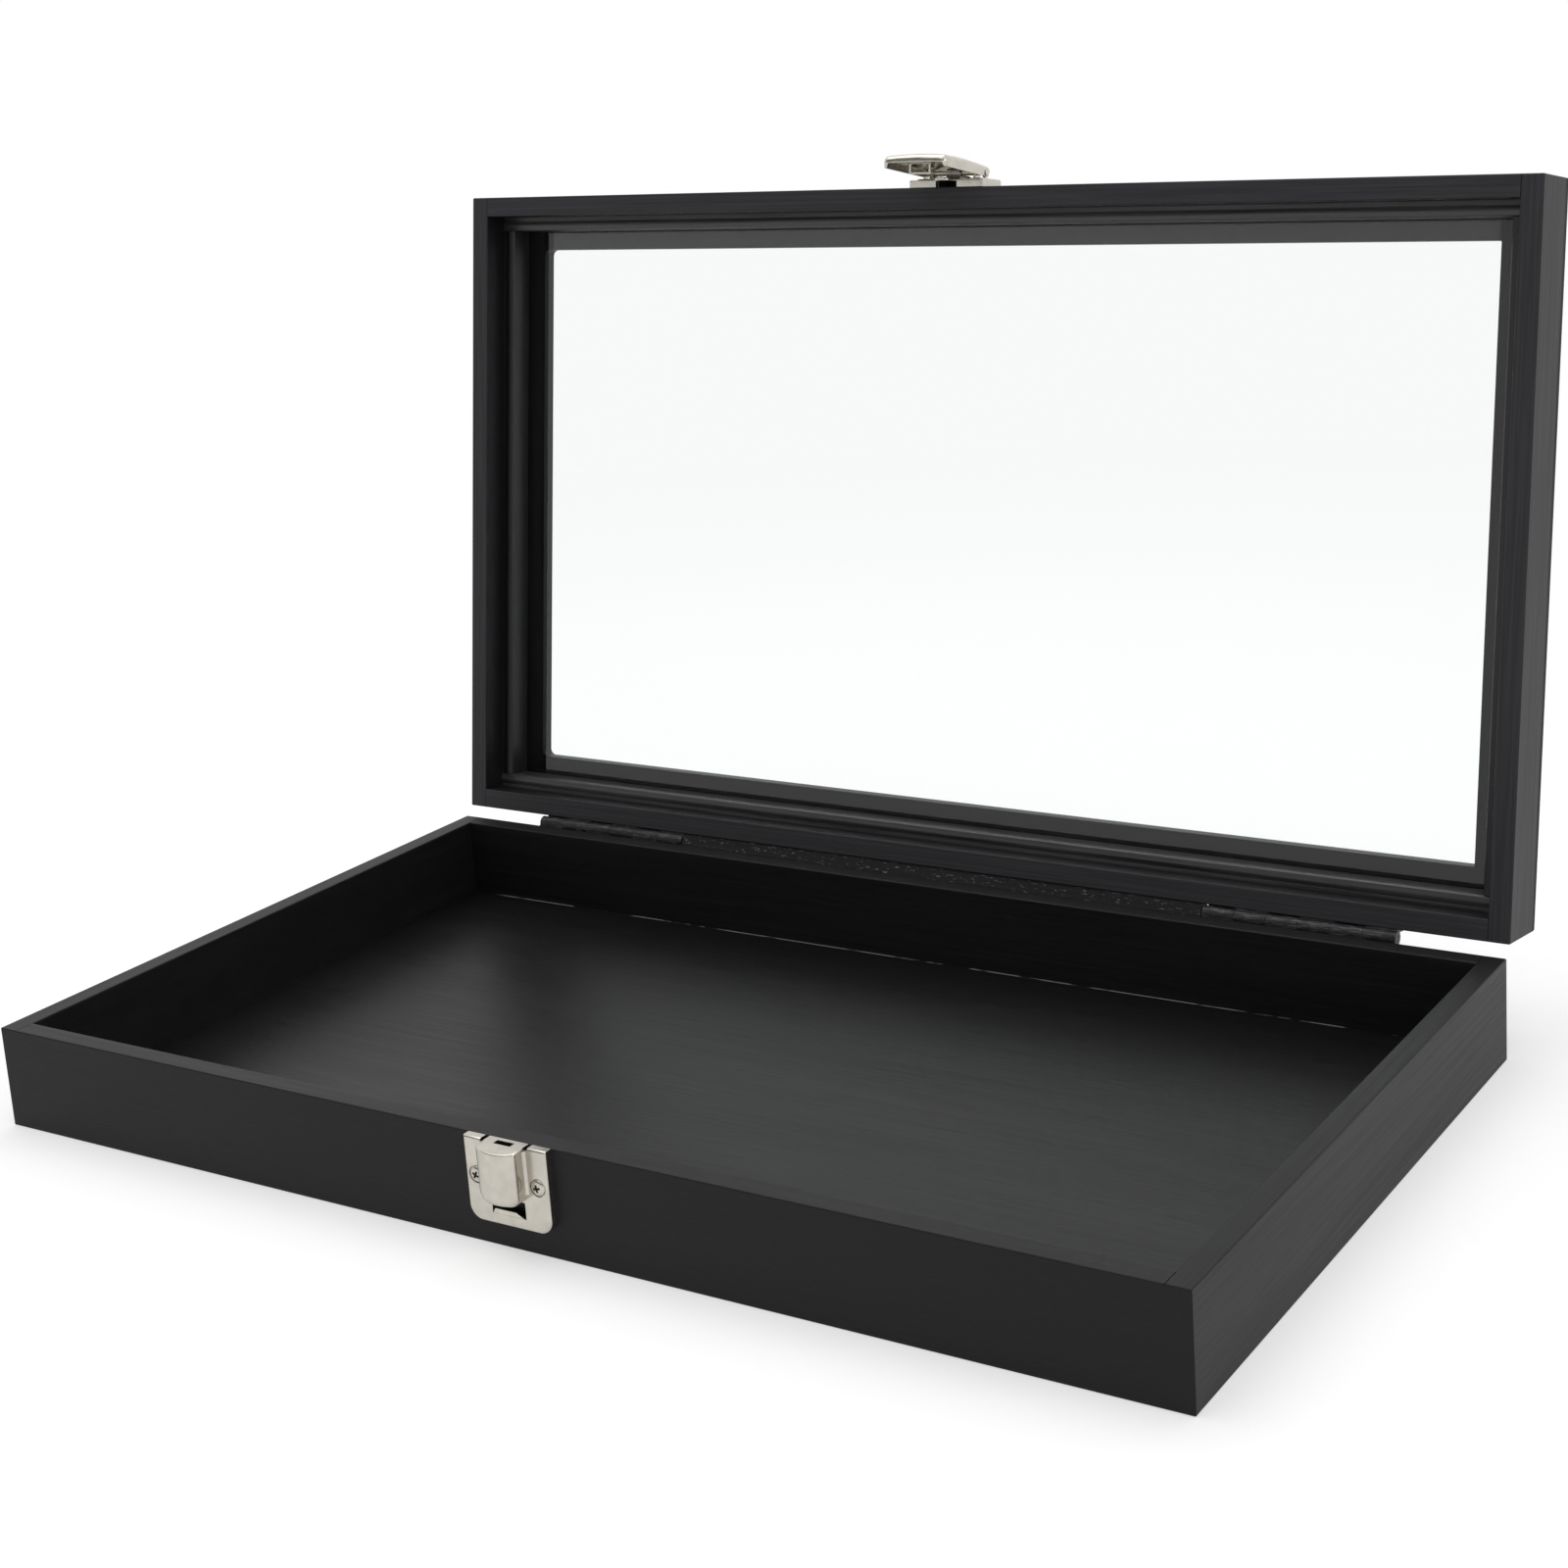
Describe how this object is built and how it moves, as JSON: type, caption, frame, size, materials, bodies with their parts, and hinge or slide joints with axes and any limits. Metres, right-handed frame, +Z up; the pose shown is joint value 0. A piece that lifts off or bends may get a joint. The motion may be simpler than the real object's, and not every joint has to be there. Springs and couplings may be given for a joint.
{
  "type": "fossil riker mount box",
  "caption": "Shallow painted wooden display case: a tray with a hinged, glazed lid that leans open on its back, a spring catch at the front.",
  "frame": {"origin": "centre of the tray's underside", "axes": "+X to the right along the long side, +Y from the catch to the hinges, +Z up out of the tray"},
  "size_m": [0.375, 0.282, 0.2564],
  "materials": {
    "black_wood": "satin black paint over wood",
    "glass": "clear float glass",
    "nickel": "bright nickel plate on pressed steel",
    "black_steel": "blackened steel, worn bright on its edges",
    "steel": "plain bright steel"
  },
  "bodies": {
    "tray": {"tray_front_board": "black_wood", "tray_back_board": "black_wood", "tray_left_board": "black_wood", "tray_right_board": "black_wood", "tray_bottom_panel": "black_wood", "tray_corner_brads": "steel", "back_stop_batten": "black_wood", "batten_brads": "steel", "keeper_plate": "nickel", "keeper_screws": "nickel", "hinge_left_tray_leaf": "black_steel", "hinge_right_tray_leaf": "black_steel", "hinge_left_pin": "black_steel", "hinge_right_pin": "black_steel", "tray_hinge_screws": "black_steel"},
    "lid": {"lid_front_board": "black_wood", "lid_back_board": "black_wood", "lid_left_board": "black_wood", "lid_right_board": "black_wood", "face_stile_left": "black_wood", "face_stile_right": "black_wood", "face_rail_front": "black_wood", "face_rail_back": "black_wood", "glass_stop_front": "black_wood", "glass_stop_back": "black_wood", "glass_stop_left": "black_wood", "glass_stop_right": "black_wood", "latch_base_plate": "nickel", "latch_base_screws": "nickel", "latch_pivot_pin": "nickel", "hinge_left_lid_leaf": "black_steel", "hinge_right_lid_leaf": "black_steel", "lid_hinge_screws": "black_steel", "lid_corner_brads": "steel", "glass_pane": "glass"},
    "latch_lever": {"latch_lever": "nickel", "latch_hook": "nickel", "latch_spring": "steel"}
  },
  "joints": [
    {"name": "lid_hinge", "type": "hinge", "parent": "tray", "child": "lid", "pos_m": [0, 0.1096, 0.0308], "axis": [1, 0, 0], "range_deg": [0, 98.8]},
    {"name": "latch_lever_pivot", "type": "hinge", "parent": "lid", "child": "latch_lever", "pos_m": [0.001, 0.14916, 0.24841], "axis": [-1, 0, 0], "range_deg": [0, 42], "stiffness_Nm_per_rad": 0.03, "springref_deg": -14.32}
  ]
}
